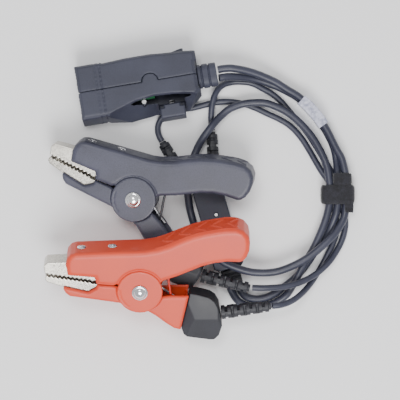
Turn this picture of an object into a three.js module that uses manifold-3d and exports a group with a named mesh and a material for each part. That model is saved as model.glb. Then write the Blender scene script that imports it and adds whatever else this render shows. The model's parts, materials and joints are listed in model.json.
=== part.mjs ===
// Battery tester with two spring clamps, a vehicle connector and an inline box.
// Millimetres, +Z up. The set lies on a table at z = 0, with the connector at the far left.
import * as THREE from 'three';
import { mergeVertices } from 'three/addons/utils/BufferGeometryUtils.js';
import Module from 'manifold-3d';

// ---- Driving dimensions ---------------------------------------------------------------
const gap = 0.3;
const centre = { x: -29.8, y: 4.32 };

const clamp = {
  upperHalf: 12.5, lowerHalf: 10.5, hubHalf: 9.7, upperCavity: 10, lowerCavity: 7.8,
  discRadius: 16.2, discHalf: 13.5, round: 3.2, hubRadius: 14, boreRadius: 2.9, wall: 2.5,
  jawHalf: 7.4, jawSheet: 1.4, bootHalf: 9.5,
};
const red = { x: -42.8, y: -60.4, z: 32.8, yaw: 0, pitch: 0, tilt: 24 };
const black = { x: -46.6, y: 2.5, z: 19, yaw: -18, pitch: 2, tilt: 12 };
const rivet = { shaft: 2.5, head: 5.7, rise: 3, foot: 0.3 };
const relief = { length: 36, thick: 5.3, thin: 3.9, segments: 8, slot: 1.4, depth: 0.9 };
const screw = { head: 3.2, shaft: 1.5, rise: 0.9, length: 5 };

const housing = { x: -87.5, y: 74.5, z: 16.8, yaw: 9.5, tilt: -12, length: 88,
  thick: 12, collar: 19, wall: 2.4, tab: 5.9, tabAt: 52.6 };
const box = { x: 13.2, y: -20.2, yaw: 16, width: 22, length: 62, height: 9.6, wall: 1.6, split: 5.6 };

const trunkDiameter = 5.5;
const leadDiameter = 4.5;
const strap = { x: 100.1, low: -3.4, high: 11.4, half: 12.2, height: 14.7,
  innerHalf: 9.2, innerLow: 2.2, innerHigh: 12.7 };
const sleeve = { half: 4, innerHalf: 3.6, low: 0.15, high: 12.7, innerLow: 0.6, innerHigh: 12.25 };

const colours = {
  red: 0xc9341f, black: 0x2b2b33, steel: 0xb9b4a8, chrome: 0xd8d8dc, rubber: 0x1b1b1f,
  housing: 0x2c2e3a, cable: 0x33343f, label: 0xb4b8c4, board: 0x2f6b44, strap: 0x141416,
};

// ---- Solids -----------------------------------------------------------------------------
const wasm = await Module();
wasm.setup();

const radians = THREE.MathUtils.degToRad;

function toSolid(geometry) {
  const bare = geometry.clone();
  bare.deleteAttribute('normal');
  bare.deleteAttribute('uv');
  const merged = mergeVertices(bare, 1e-4);
  return new wasm.Manifold(new wasm.Mesh({
    numProp: 3,
    vertProperties: new Float32Array(merged.attributes.position.array),
    triVerts: new Uint32Array(merged.index.array),
  }));
}

function toGeometry(solid) {
  const mesh = solid.getMesh();
  const geometry = new THREE.BufferGeometry();
  geometry.setAttribute('position', new THREE.BufferAttribute(new Float32Array(mesh.vertProperties), 3));
  geometry.setIndex(new THREE.BufferAttribute(new Uint32Array(mesh.triVerts), 1));
  geometry.computeVertexNormals();
  return geometry;
}

const join = (...solids) => solids.reduce((whole, piece) => whole.add(piece));
const cut = (solid, ...tools) => tools.reduce((whole, tool) => whole.subtract(tool), solid);

// A prism from an outline of [x, y] points, between two heights.
function prism(points, low, high, bevel = 0, bevelSegments = 1) {
  const shape = new THREE.Shape(points.map(([x, y]) => new THREE.Vector2(x, y)));
  const geometry = new THREE.ExtrudeGeometry(shape, {
    depth: high - low - 2 * bevel, bevelEnabled: bevel > 0, bevelThickness: bevel, bevelSize: bevel,
    bevelOffset: -bevel, bevelSegments, curveSegments: 8,
  });
  geometry.translate(0, 0, low + bevel);
  return toSolid(geometry);
}

// A cylinder along Z, between two heights.
function disc(radius, low, high, x = 0, y = 0, sides = 32) {
  const geometry = new THREE.CylinderGeometry(radius, radius, high - low, sides);
  geometry.rotateX(Math.PI / 2);
  geometry.translate(x, y, (low + high) / 2);
  return toSolid(geometry);
}

function block(low, high) {
  const size = high.map((value, axis) => value - low[axis]);
  const geometry = new THREE.BoxGeometry(...size);
  geometry.translate(...high.map((value, axis) => (value + low[axis]) / 2));
  return toSolid(geometry);
}

// A turned solid: the profile holds [radius, height] pairs, and the axis is Z.
function turned(profile, sides = 24) {
  const geometry = new THREE.LatheGeometry(profile.map(([r, z]) => new THREE.Vector2(r, z)), sides);
  geometry.rotateX(Math.PI / 2);
  return geometry;
}

function roundSection(radius, sides) {
  const points = [];
  for (let i = 0; i < sides; i += 1) {
    const turn = (i / sides) * 2 * Math.PI;
    points.push(new THREE.Vector2(radius * Math.cos(turn), radius * Math.sin(turn)));
  }
  return new THREE.Shape(points);
}

function tube(points, diameter, steps, sides = 8) {
  const path = new THREE.CatmullRomCurve3(points.map((point) => new THREE.Vector3(...point)), false, 'centripetal');
  return new THREE.ExtrudeGeometry(roundSection(diameter / 2, sides), { steps, extrudePath: path });
}

function piece(name, shape, colour, roughness = 0.6, metalness = 0) {
  const geometry = shape.isBufferGeometry ? shape : toGeometry(shape);
  const mesh = new THREE.Mesh(geometry, new THREE.MeshStandardMaterial({ color: colour, roughness, metalness }));
  mesh.name = name;
  return mesh;
}

function place(mesh, x, y, z, turnX = 0, turnY = 0, turnZ = 0) {
  mesh.position.set(x, y, z);
  mesh.rotation.set(radians(turnX), radians(turnY), radians(turnZ));
  return mesh;
}

// ---- Clamp --------------------------------------------------------------------------------
// Local frame: the hinge is the Z axis, the jaws point along -X and the upper half lies at +Y.
const upperTop = [
  [-51.5, 12], [-52.6, 20], [-51.6, 25], [-49, 28.2], [-45.4, 29.4], [-20, 30.4], [3, 31.2], [12, 32.8],
  [19.7, 35.4], [28, 39.4], [37.3, 43.2], [46, 45.6], [52.7, 46.9], [61, 48.2], [69.2, 48.3], [74, 46.4],
  [77.3, 42], [78.2, 37], [77.8, 31.2], [76, 26.4], [73.6, 23.4], [71, 22.4],
];
const upperBottom = [
  [62, 22.8], [52.7, 21.6], [44, 19], [36, 15.4], [27, 11.4], [17.4, 8], [13.5, 5], [0, 8], [-14, 6], [-18.2, 3.9],
  [-31, 4.9], [-32.4, 10.3],
];
// Both lower halves have the same nose. The black clamp's handle is bent down further.
const lowerNose = {
  top: [[-54.4, 2.6], [-37.1, -1.7], [-31.6, 1.6], [-30.6, 4.5], [-18.6, 3.5], [-14, 2], [0, 0], [10, -5.8]],
  bottom: [[-4, -12.8], [-13.5, -10.7], [-50.3, -5], [-53.2, -2.4], [-54.6, 0.4]],
};
const lowerHandle = {
  red: {
    top: [[22, -4.6], [35, -4.6]],
    bottom: [[28.9, -32], [24, -30.6], [18, -26.4], [11, -20.6], [3.1, -15.6]],
    boot: [[35.6, -4.3], [42.7, -5.6], [49.5, -7.6], [53.4, -10.6], [56.2, -15.9], [58.7, -29.6], [56.4, -37.4],
      [53.4, -41], [50, -41.3], [33.6, -38.8], [31, -37], [29.3, -32.4]],
    exit: { x: 58.2, y: -22.4, turn: 8 },
  },
  black: {
    top: [[16, -5.8], [24, -10.4], [33, -17.8], [43.3, -27]],
    bottom: [[38.9, -46.6], [34, -42.6], [28, -37], [16.1, -26.6], [8, -19], [3.1, -16]],
    boot: [[43.9, -26.8], [50, -27.6], [57, -30], [60.8, -32.6], [62.3, -35.6], [61.5, -42.4], [59.2, -49.4],
      [57.4, -51.2], [55, -51.6], [43, -50.4], [40.6, -49.2], [39.4, -46.8]],
    exit: { x: 63, y: -40.5, turn: 3.5 },
  },
};

// Moves each point of an open outline to its right by a distance.
function offset(points, distance) {
  return points.map((point, i) => {
    const before = points[Math.max(i - 1, 0)];
    const after = points[Math.min(i + 1, points.length - 1)];
    const length = Math.hypot(after[0] - before[0], after[1] - before[1]);
    const normal = [(after[1] - before[1]) / length, -(after[0] - before[0]) / length];
    return [point[0] + normal[0] * distance, point[1] + normal[1] * distance];
  });
}

const topScrews = [[-41.5, 29.5], [-19.5, 30.4]];

function upperShell() {
  const { upperHalf, upperCavity, discRadius, discHalf, boreRadius, wall } = clamp;
  const body = prism([...upperTop, ...upperBottom], -upperHalf, upperHalf, clamp.round, 3);
  const bosses = disc(discRadius, -discHalf, discHalf);
  const inner = offset(upperTop, wall);
  const cavity = prism([[-60, -20], [-60, 12], ...inner.slice(1, -2), [74.8, 30], [76, 10], [40, -20]],
    -upperCavity, upperCavity);
  const mouth = block([-60, -12, -upperCavity + 1.5], [-44, 23.4, upperCavity - 1.5]);
  const holes = topScrews.flatMap(([x, y]) => {
    const pocket = toSolid(new THREE.CylinderGeometry(screw.head + gap, screw.head + gap, 4, 20)
      .translate(x, y + 1.4, 0));
    const bore = toSolid(new THREE.CylinderGeometry(screw.shaft + gap, screw.shaft + gap, 9, 16)
      .translate(x, y - 2.4, 0));
    return [pocket, bore];
  });
  return cut(join(body, bosses), cavity, mouth, disc(boreRadius, -20, 20), ...holes);
}

function lowerShell(handle) {
  const { lowerHalf, hubHalf, lowerCavity, discRadius, hubRadius, boreRadius } = clamp;
  const top = [...lowerNose.top, ...handle.top];
  const bottom = [...handle.bottom, ...lowerNose.bottom];
  const body = prism([...top, ...bottom], -lowerHalf, lowerHalf, 1.4);
  const hub = disc(hubRadius, -hubHalf, hubHalf);
  const rebate = discRadius + 0.7;
  const floor = offset(bottom, clamp.wall);
  const inner = [bottom[0][0] - 0.5, bottom[0][1] + 3.4];
  const mouth = top[top.length - 1];
  const cavity = prism([[mouth[0] - 2.2, mouth[1] - 4], inner, ...floor.slice(2, -1), [-60, 3], [-60, 30], [60, 30],
    [60, mouth[1] + 6]], -lowerCavity, lowerCavity);
  return cut(
    join(body, hub),
    disc(rebate, hubHalf, 20), disc(rebate, -20, -hubHalf),
    cavity, disc(boreRadius, -20, 20),
  );
}

// A folded jaw: two toothed cheeks and the web that joins them.
function jaw(side) {
  const { jawHalf, jawSheet } = clamp;
  const teeth = [];
  const toothStep = 3;
  for (let i = 0; i <= 22; i += 1) {
    const along = -67.4 + i * toothStep / 2;
    const crest = i % 2 === 0 ? 0.7 : -0.7;
    const line = 10.9 - (i * toothStep / 2) * 0.16;
    teeth.push([along, line + side * (0.95 - crest * side)]);
  }
  const upper = side > 0;
  const back = upper
    ? [[-20, 9.5], [-20, 22.4], [-66.2, 20.2], [-68.4, 17.6]]
    : [[-20, 2.4], [-20, -5.6], [-52, 0.6], [-65.8, 5.2], [-67.6, 7.2]];
  const profile = prism([...teeth, ...back], -jawHalf, jawHalf);
  const webY = upper ? 21 : 0;
  const hollow = upper
    ? prism([[-80, -10], [-64.9, 18.7], [-10, 21], [-10, -20]], -jawHalf + jawSheet, jawHalf - jawSheet)
    : prism([[-80, 30], [-64.6, 6.6], [-51.6, 2.3], [-10, -4.6], [-10, 30]], -jawHalf + jawSheet, jawHalf - jawSheet);
  const holes = topScrews.map(([x]) => toSolid(
    new THREE.CylinderGeometry(screw.shaft + gap, screw.shaft + gap, 8, 12).translate(x, webY, 0)));
  return upper ? cut(profile, hollow, ...holes) : cut(profile, hollow);
}

function hingeRivet() {
  const seat = clamp.discHalf + rivet.foot;
  const top = seat + rivet.rise;
  const dome = [];
  for (let i = 0; i <= 3; i += 1) {
    const turn = (i / 3) * Math.PI / 2;
    dome.push([(rivet.head - 0.9) * Math.cos(turn), seat + 0.9 + (rivet.rise - 0.9) * Math.sin(turn)]);
  }
  const head = [[rivet.shaft, seat], [rivet.head, seat], [rivet.head, seat + 0.9], ...dome];
  const half = head.map(([r, z]) => [Math.max(r, 0), z]);
  half[half.length - 1] = [0, top];
  const mirrored = half.map(([r, z]) => [r, -z]).reverse();
  return turned([...mirrored, ...half], 18);
}

function torsionSpring() {
  const coil = { radius: 6.2, wire: 1.8, turns: 3, pitch: 2.4 };
  const points = [[24, 15, 3.6], [14, 10.6, 3.6], [8, 7.4, 3.6]];
  const steps = coil.turns * 8;
  for (let i = 0; i <= steps; i += 1) {
    const turn = Math.PI / 3 + (i / 8) * 2 * Math.PI;
    points.push([coil.radius * Math.cos(turn), coil.radius * Math.sin(turn), 3.6 - (i / 8) * coil.pitch]);
  }
  points.push([12, -1.6, -3.8], [20, -8.4, -3.8], [26, -12.6, -3.8]);
  return tube(points, coil.wire, 54, 6);
}

function topScrew() {
  const { head, shaft, rise, length } = screw;
  return turned([[0, -length], [shaft, -length], [shaft, 0], [head, 0], [head, rise * 0.5], [head * 0.6, rise], [0, rise]], 14);
}

// A moulded strain relief: a taper with square slots round it, along +Z.
function ribbedRelief({ length, thick, thin, segments, slot, depth }) {
  const radiusAt = (z) => thick + (thin - thick) * (z / length);
  const profile = [[0, 0], [thick, 0]];
  const pitch = length / segments;
  for (let i = 1; i < segments; i += 1) {
    const z = i * pitch;
    const radius = radiusAt(z);
    profile.push([radius, z - slot / 2], [radius - depth, z - slot / 2], [radius - depth, z + slot / 2], [radius, z + slot / 2]);
  }
  profile.push([thin, length], [0, length]);
  return turned(profile, 10);
}

function makeClamp(name, at, shellColour) {
  const group = new THREE.Group();
  group.position.set(at.x, at.y, at.z);
  group.rotation.set(radians(at.tilt), radians(-at.pitch), radians(at.yaw), 'ZYX');
  group.add(piece(`${name}_upper_shell`, upperShell(), shellColour, 0.45));
  group.add(piece(`${name}_lower_shell`, lowerShell(lowerHandle[name]), shellColour, 0.45));
  group.add(piece(`${name}_upper_jaw`, jaw(1), colours.steel, 0.35, 0.9));
  group.add(piece(`${name}_lower_jaw`, jaw(-1), colours.steel, 0.35, 0.9));
  group.add(piece(`${name}_hinge_rivet`, hingeRivet(), colours.chrome, 0.2, 1));
  group.add(piece(`${name}_torsion_spring`, torsionSpring(), colours.steel, 0.3, 1));
  topScrews.forEach(([x, y], i) => {
    const mesh = piece(`${name}_top_screw_${i + 1}`, topScrew(), colours.chrome, 0.25, 1);
    group.add(place(mesh, x, y - gap, 0, -90));
  });
  const { exit, boot: bootOutline } = lowerHandle[name];
  const boot = prism(bootOutline, -clamp.bootHalf, clamp.bootHalf, 1.8);
  group.add(piece(`${name}_boot`, boot, colours.rubber, 0.75));
  const tail = piece(`${name}_strain_relief`, ribbedRelief(relief), colours.rubber, 0.75);
  tail.position.set(exit.x, exit.y, 0);
  tail.rotation.set(0, radians(90), radians(exit.turn), 'ZYX');
  group.add(tail);
  const wire = [[23, 26, 5], [21.5, 18, 5.6], [20.4, 8, 6], [21.4, -2, 6], [22, -9.5, 5.4], [20.6, -15, 4.4]];
  group.add(piece(`${name}_jumper_wire`, tube(wire, 1.7, 12, 6), shellColour, 0.5));
  return group;
}

// ---- Vehicle connector ----------------------------------------------------------------------
// Local frame: the mouth is at x = 0, the cables leave along +X and the shells part at y = 0.
const housingOutline = [
  [0, -20.2], [0, 20.2], [19, 20.2], [20.2, 19.4], [37, 20.4], [55, 20.4], [67, 19.4], [79, 18.8], [88, 17.6],
  [88, 10.8], [86.6, 9.6], [86.6, -9.6], [88, -11.6], [77.5, -21.5], [55, -23], [38, -23.4], [20.2, -20.8], [19, -20.2],
];
const scoopEdge = [[17, -26], [20.6, -18.8], [30, -15.6], [39.9, -12.2], [53.5, -10.2], [66, -10.8], [79.2, -12.7],
  [92, -16], [92, -40], [17, -40]];
const lever = { at: 56.5, length: 18, width: 13, low: 19.8, high: 27.4 };
const wedge = { from: 66.5, tip: 79.6, low: 15.6, high: 21.8, width: 13 };
const grommet = { length: 14.6, halfHeight: 9, halfThick: 5.6, slot: 1.1, flange: 11 };

// A prism whose outline slides along Y as it goes down, so that its wall slopes.
function slopedPrism(points, low, high, slope) {
  const shape = new THREE.Shape(points.map(([x, y]) => new THREE.Vector2(x, y)));
  const geometry = new THREE.ExtrudeGeometry(shape, { depth: high - low, bevelEnabled: false });
  geometry.translate(0, 0, low);
  const position = geometry.attributes.position;
  for (let i = 0; i < position.count; i += 1) {
    position.setY(i, position.getY(i) - (high - position.getZ(i)) * slope);
  }
  return toSolid(geometry);
}

function housingBody() {
  const { thick, collar, wall, length } = housing;
  const outer = prism(housingOutline, -thick, thick, 2.2);
  const ridge = (x, width, depth) => cut(
    block([x, -30, -30], [x + width, 30, 30]),
    block([x - 1, -19.9 + depth, -thick + depth], [x + width + 1, 19.9 - depth, thick - depth]),
  );
  const scoop = slopedPrism(scoopEdge, -thick - 1, thick, 0.42);
  const hollow = block([collar + 2, -14.5, -thick + wall], [length - 8, 15.5, thick - wall - 0.2]);
  const mouth = block([-1, -17.6, -thick + wall], [collar - 1, 17.6, thick - wall]);
  const leverSlot = block([lever.at - 0.6, -30, -6.6 - gap], [lever.at + lever.length + 0.6, -12, 6.6 + gap]);
  const wedgeSlot = block([wedge.from - 0.6, 13, -6.6 - gap], [wedge.tip + 0.6, 30, 6.6 + gap]);
  const outlet = block([length - 9, -7, -4], [length + 5, 7, 4]);
  return cut(outer, ridge(14, 0.9, 0.5), ridge(17.4, 1, 0.7), scoop, hollow, mouth, leverSlot, wedgeSlot, outlet,
    block([collar - 2, -13, -7], [collar + 4, 13, 7]));
}

function housingShells() {
  const body = housingBody();
  const { tab, tabAt } = housing;
  const line = gap / 2;
  const above = block([-10, line, -30], [110, 60, 30]);
  const below = block([-10, -60, -30], [110, -line, 30]);
  const tabHole = disc(tab + line, 8, 30, tabAt, 0);
  const tabTongue = cut(disc(tab - line, 10.4, 30, tabAt, 0), block([0, -60, -30], [110, -line, 30]));
  const upperShellBody = cut(body.intersect(above), tabHole);
  const tongue = body.intersect(tabTongue);
  const lowerShellBody = join(body.intersect(below), tongue, block([tabAt - 3, -3, 9.6], [tabAt + 3, 1, 11]));
  const screwHole = disc(1.9, -2, 30, 46, -13.6, 16);
  return { upper: upperShellBody, lower: cut(lowerShellBody, screwHole) };
}

function leverBlock() {
  return prism([
    [lever.at, -lever.high], [lever.at + lever.length, -lever.high],
    [lever.at + lever.length, -lever.low], [lever.at + lever.length - 3, -lever.low], [lever.at + lever.length - 3, -17.4],
    [lever.at + 3, -17.4], [lever.at + 3, -lever.low], [lever.at, -lever.low],
  ], -lever.width / 2, lever.width / 2, 0.8);
}

function wedgeLever() {
  return prism([
    [wedge.from, wedge.low], [wedge.tip, wedge.low], [wedge.tip, wedge.high],
    [wedge.tip - 1.8, wedge.high], [wedge.from + 1.4, 19.6], [wedge.from, 19],
  ], -wedge.width / 2, wedge.width / 2, 0.5);
}

function helicalSpring(length) {
  const points = [];
  const turns = 3;
  for (let i = 0; i <= turns * 8; i += 1) {
    const turn = (i / 8) * 2 * Math.PI;
    points.push([1.8 * Math.cos(turn), 1.8 * Math.sin(turn), 0.4 + (length - 0.8) * (i / (turns * 8))]);
  }
  return tube(points, 0.7, turns * 8, 6);
}

function grommetBody() {
  const { length, halfHeight, halfThick, slot, flange } = grommet;
  const oval = (x, width, inset) => {
    const shape = new THREE.Shape();
    const straight = halfHeight - halfThick;
    shape.absarc(0, straight, halfThick - inset, 0, Math.PI, false);
    shape.absarc(0, -straight, halfThick - inset, Math.PI, 2 * Math.PI, false);
    const geometry = new THREE.ExtrudeGeometry(shape, { depth: width, bevelEnabled: false, curveSegments: 5 });
    geometry.rotateY(Math.PI / 2);
    geometry.translate(x, 0, 0);
    return toSolid(geometry);
  };
  const root = block([-7, -5.6, -3.4], [1, 5.6, 3.4]);
  const core = oval(0, length - 0.5, 1.1);
  return join(root, core, oval(0.4, 2.2, 0.2), oval(0.4 + 2.2 + slot, 4.3, 0),
    oval(0.4 + 6.5 + 2 * slot, length - 9.6, 0.15), block([0.1, -flange + 4, -halfThick + 0.5], [1.2, flange - 4, halfThick - 0.5]));
}

function makeHousing() {
  const group = new THREE.Group();
  group.position.set(housing.x, housing.y, housing.z);
  group.rotation.set(radians(housing.tilt), 0, radians(housing.yaw), 'ZYX');
  const shells = housingShells();
  group.add(piece('connector_upper_shell', shells.upper, colours.housing, 0.7));
  group.add(piece('connector_lower_shell', shells.lower, colours.housing, 0.7));
  const pinSlots = [];
  for (let row = -1; row <= 1; row += 2) {
    for (let i = 0; i < 8; i += 1) {
      const y = -12.6 + i * 3.6;
      pinSlots.push(block([4, y - 0.9, row * 3.2 - 1], [12, y + 0.9, row * 3.2 + 1]));
    }
  }
  const insert = cut(block([6, -15.6, -7.4], [15.4, 15.6, 7.4]), ...pinSlots);
  group.add(piece('connector_pin_insert', insert, colours.black, 0.6));
  group.add(piece('connector_circuit_board', block([24, -10, -0.8], [54, 12, 0.8]), colours.board, 0.5));
  group.add(piece('connector_lower_lever', leverBlock(), colours.housing, 0.6));
  group.add(piece('connector_upper_lever', wedgeLever(), colours.housing, 0.6));
  const springs = [['connector_lower_spring', lever.at + 9, -13.8, 3.2, 90], ['connector_upper_spring', 72.8, 15.2, 3.2, 90]];
  springs.forEach(([name, x, y, length, turn]) => {
    group.add(place(piece(name, helicalSpring(length), colours.steel, 0.3, 1), x, y, 0, turn));
  });
  const housingScrew = turned([[0, -6], [1.6, -6], [1.6, -1.2], [1.6, 0], [0, 0]], 16);
  group.add(place(piece('connector_screw', housingScrew, colours.chrome, 0.3, 1), 46, -13.6, 8.2));
  const outlet = piece('connector_strain_relief', grommetBody(), colours.housing, 0.7);
  group.add(place(outlet, housing.length - 1.1, 0, 0));
  return group;
}

// ---- Inline box -------------------------------------------------------------------------------
// Local frame: +Y is the end with the two leads, the underside is at z = 0.
const boxReliefs = {
  red_lead_relief: { x: -13.5, y: 19.1, z: 5.3, lean: 31, drop: 2, length: 27, segments: 6 },
  black_lead_relief: { x: 10.5, y: 12.8, z: 5.6, lean: 3, drop: 1.8, length: 37, segments: 8 },
};
const leadTail = [[-3.4, 8.4, 3.4], [-5.6, 11.2, 3.2], [-9, 14, 3.2], [-11.6, 16.2, 3.7], [-12.8, 18, 4.2]];

function boxOutline(inset) {
  const x = box.width / 2 - inset;
  const y = box.length / 2 - inset;
  const corner = 2.4;
  return [[-x + corner, -y], [x - corner, -y], [x, -y + corner], [x, y - corner],
    [x - corner, y], [-x + corner, y], [-x, y - corner], [-x, -y + corner]];
}

function makeBox() {
  const { x, y, yaw, length, height, wall, split } = box;
  const group = new THREE.Group();
  group.position.set(x, y, 0);
  group.rotation.set(0, 0, radians(yaw));
  const end = length / 2;
  const ports = [
    block([-7.6, end - 4, 2], [-2.6, end + 4, 7.6]),
    block([2.6, end - 4, 2], [7.6, end + 4, 7.6]),
    block([-6.8, -end - 4, 0.9], [6.8, -end + 4, 5.1]),
  ];
  const inner = boxOutline(wall);
  const base = cut(prism(boxOutline(0), 0, split - gap / 2, 0.6), prism(inner, wall, split + 1), ...ports);
  const screwAt = { x: 1.2, y: 9.5 };
  const lid = cut(prism(boxOutline(0), split + gap / 2, height, 0.6), prism(inner, split - 1, height - wall),
    ...ports, disc(1.5, 0, 20, screwAt.x, screwAt.y, 16));
  group.add(piece('box_base', base, colours.housing, 0.7));
  group.add(piece('box_lid', lid, colours.housing, 0.7));
  group.add(piece('box_circuit_board', block([-7, -20, 2.4], [7, 16, 3.6]), colours.board, 0.5));
  const fuse = cut(block([-3, -12, 3.9], [3, 2, 7.6]), block([-1, -13, 6.8], [1, 3, 9]));
  group.add(piece('box_fuse', fuse, colours.label, 0.4));
  const lidScrew = turned([[0, 3.9], [1.2, 3.9], [1.2, height - 0.4], [0, height - 0.4]], 12);
  group.add(place(piece('box_lid_screw', lidScrew, colours.chrome, 0.3, 1), screwAt.x, screwAt.y, 0));
  const gland = cut(prism([[-6.4, -end - 11], [6.4, -end - 11], [7, -end - 0.3], [-7, -end - 0.3]], 0.3, 5.6, 0.8),
    block([-6.2, -end - 4.6, 4.9], [6.2, -end - 3.4, 7]), block([-6.2, -end - 7.6, 4.9], [6.2, -end - 6.4, 7]));
  group.add(piece('box_gland', gland, colours.rubber, 0.75));
  return group;
}

function makeBoxReliefs() {
  return Object.entries(boxReliefs).map(([name, at]) => {
    const shape = ribbedRelief({ ...relief, thick: 5.1, length: at.length, segments: at.segments });
    const mesh = piece(name, shape, colours.rubber, 0.75);
    mesh.position.set(at.x, at.y, at.z);
    mesh.rotation.set(radians(-90 - at.drop), 0, radians(at.lean), 'ZYX');
    return mesh;
  });
}

// ---- Cables -------------------------------------------------------------------------------------
// The long trunk cable runs out to the strap, back under both clamps, round the inner loop and
// through the strap again to the box. The short one goes straight to the box.
const longTrunkRoute = [
  [12.9, 94.4, 16.1], [17.3, 95.2, 16.1], [24.5, 95.3, 15.9], [51.1, 87.5, 10.9], [64.1, 79.9, 9.4],
  [72.9, 74.2, 9.3], [89.1, 55.8, 9.3], [99, 37.4, 9.2], [103.7, 28.1, 9.6], [105.4, -9.4, 10],
  [102.5, -17.3, 11.2], [93.2, -29.2, 13.9], [65.5, -48.5, 14.6], [44.6, -52.8, 14.8], [23, -47.9, 15.4],
  [13.7, -42.8, 15.3], [6.8, -36, 15.2], [0.2, -28.9, 12], [-3.4, -20.4, 6.4], [-6.2, -11.5, 3.4],
  [-8.2, -2.2, 3.8], [-8.6, 13.7, 8.8], [-2.7, 36, 8.2], [6.1, 50.4, 11.2], [16.2, 61.9, 7.8],
  [23, 67, 7.6], [42.5, 70.9, 7.6], [51.8, 69.3, 7.6], [70.3, 58.3, 7.8], [89.6, 31.3, 8.2],
  [94, 13.7, 9.8], [94, -2.9, 9.4], [84.6, -31, 8.6], [75.7, -46.8, 8.5], [67, -63, 8], [61.8, -70.3, 5],
  [46.4, -77.5, 2.9], [30.6, -75.6, 2.9], [22.8, -66, 2.9], [21.9, -61.6, 2.9],
];
const shortTrunkRoute = [
  [13.8, 88.3, 17.5], [18.7, 89.1, 16.6], [25.9, 89.4, 13.2], [36.7, 88.6, 8.1], [50.4, 85, 4.9], [63.4, 79.1, 3.6],
  [72.4, 73.6, 3.5], [80.9, 64.9, 3.5], [88.5, 55.2, 3.5], [93.7, 46.7, 3.4], [97.9, 36.7, 3.3], [99.5, 28.1, 4.6],
  [100, 20.2, 7.8], [100.1, 12.2, 9.6], [100.1, -2.9, 9.4], [99.2, -8.6, 9.1], [97.1, -15.1, 7.9], [94.2, -22, 5.8],
  [90.4, -28.8, 3.5], [85, -36.4, 2.9], [79.7, -44.3, 2.9], [74.2, -51.8, 2.9], [67.7, -58.3, 2.9], [60.8, -63.7, 2.9],
  [54, -68.4, 2.9], [46.1, -71.6, 2.9], [39.2, -72, 2.9], [33.4, -70.2, 2.9], [29.7, -65.7, 2.9], [28, -60.6, 2.9],
];
const redLeadRoute = [
  [-27.8, 42.9, 4.4], [-29.8, 46.7, 4.1], [-30.8, 51.1, 3.4], [-30, 56.2, 2.7], [-26.8, 60.8, 2.4], [-21.3, 64.1, 2.4],
  [-13.7, 66, 2.4], [-5, 67.3, 2.4], [2.2, 69.1, 2.4], [9.4, 70.9, 2.4], [20.2, 71.8, 2.4], [31, 70.3, 2.4],
  [39.6, 67.5, 2.4], [49, 63.1, 2.4], [58.3, 58.8, 2.4], [65.9, 53.9, 2.4], [72.7, 46.8, 2.4], [78.8, 37.8, 2.4],
  [84.2, 28.4, 2.6], [88.9, 20.5, 3.2], [93.6, 14, 4.1], [96.6, 8.6, 4.8], [97.2, 3.6, 4.8], [97.2, -2.9, 4.8],
  [98.4, -9.4, 3.4], [99.6, -15.8, 2.5], [99.8, -23, 2.4], [97.2, -31, 2.4], [93.7, -38.9, 2.4], [89.3, -47.2, 2.6],
  [84.8, -54.7, 4], [79.6, -61.9, 7.5], [73.1, -68.4, 13.5], [65.9, -73.1, 19.5], [58.3, -75.6, 24.5], [52.1, -76.3, 25.6],
];
const blackLeadRoute = [
  [8.6, 50.7, 4.4], [8.1, 56.9, 4.6], [8.2, 63.7, 6.3], [9.2, 70.9, 7.4], [11.5, 77.9, 6.3], [15.8, 83.2, 3.9],
  [22.3, 85.7, 2.5], [30.2, 86.2, 2.4], [38.2, 85, 2.4], [45.4, 81.5, 2.4], [52.6, 77.5, 2.4], [58.3, 72.7, 2.4],
  [63.8, 66.6, 2.4], [69.8, 59.4, 2.4], [77, 50.8, 2.4], [83.5, 41, 2.4], [89.4, 31.3, 2.4], [94.3, 23.4, 2.6],
  [98.5, 16.2, 3.6], [102.1, 9.7, 4.8], [103, 4.3, 4.8], [103, -2.9, 4.8], [104.8, -9.4, 4], [106.1, -15.8, 3],
  [105.5, -23, 2.5], [103.3, -30.2, 2.7], [99.7, -37.1, 4], [94.7, -44.3, 7], [88.6, -50.4, 9.4], [82.1, -55.1, 11.5],
  [74.9, -58.7, 14], [67.7, -61.2, 15.8], [59.8, -62.8, 17.6], [51.8, -63.4, 19.4], [43.9, -63.6, 20.4], [37.7, -63.4, 20.5],
];

function makeCables() {
  return [
    piece('long_trunk_cable', tube(longTrunkRoute, trunkDiameter, 80), colours.cable, 0.45),
    piece('short_trunk_cable', tube(shortTrunkRoute, trunkDiameter, 40), colours.cable, 0.45),
    piece('red_lead', tube(redLeadRoute, leadDiameter, 44), colours.cable, 0.45),
    piece('black_lead', tube(blackLeadRoute, leadDiameter, 44), colours.cable, 0.45),
    piece('red_lead_tail', tube(leadTail, leadDiameter, 8), colours.cable, 0.45),
  ];
}

// ---- Sleeve and strap ----------------------------------------------------------------------------
const sleeveLine = [[73.6, 73], [77.8, 69.2], [82, 64.7], [86, 59.9], [89.9, 54.3]];

function band(line, half, extra) {
  const first = line[0];
  const last = line[line.length - 1];
  const before = [first[0] - (line[1][0] - first[0]) * extra, first[1] - (line[1][1] - first[1]) * extra];
  const next = line[line.length - 2];
  const after = [last[0] + (last[0] - next[0]) * extra, last[1] + (last[1] - next[1]) * extra];
  const full = extra > 0 ? [before, ...line, after] : line;
  return [...offset(full, half), ...offset(full, -half).reverse()];
}

function markerSleeve() {
  const { half, innerHalf, low, high, innerLow, innerHigh } = sleeve;
  return cut(prism(band(sleeveLine, half, 0), low, high, 0.35),
    prism(band(sleeveLine, innerHalf, 1), innerLow, innerHigh, 0));
}

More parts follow.
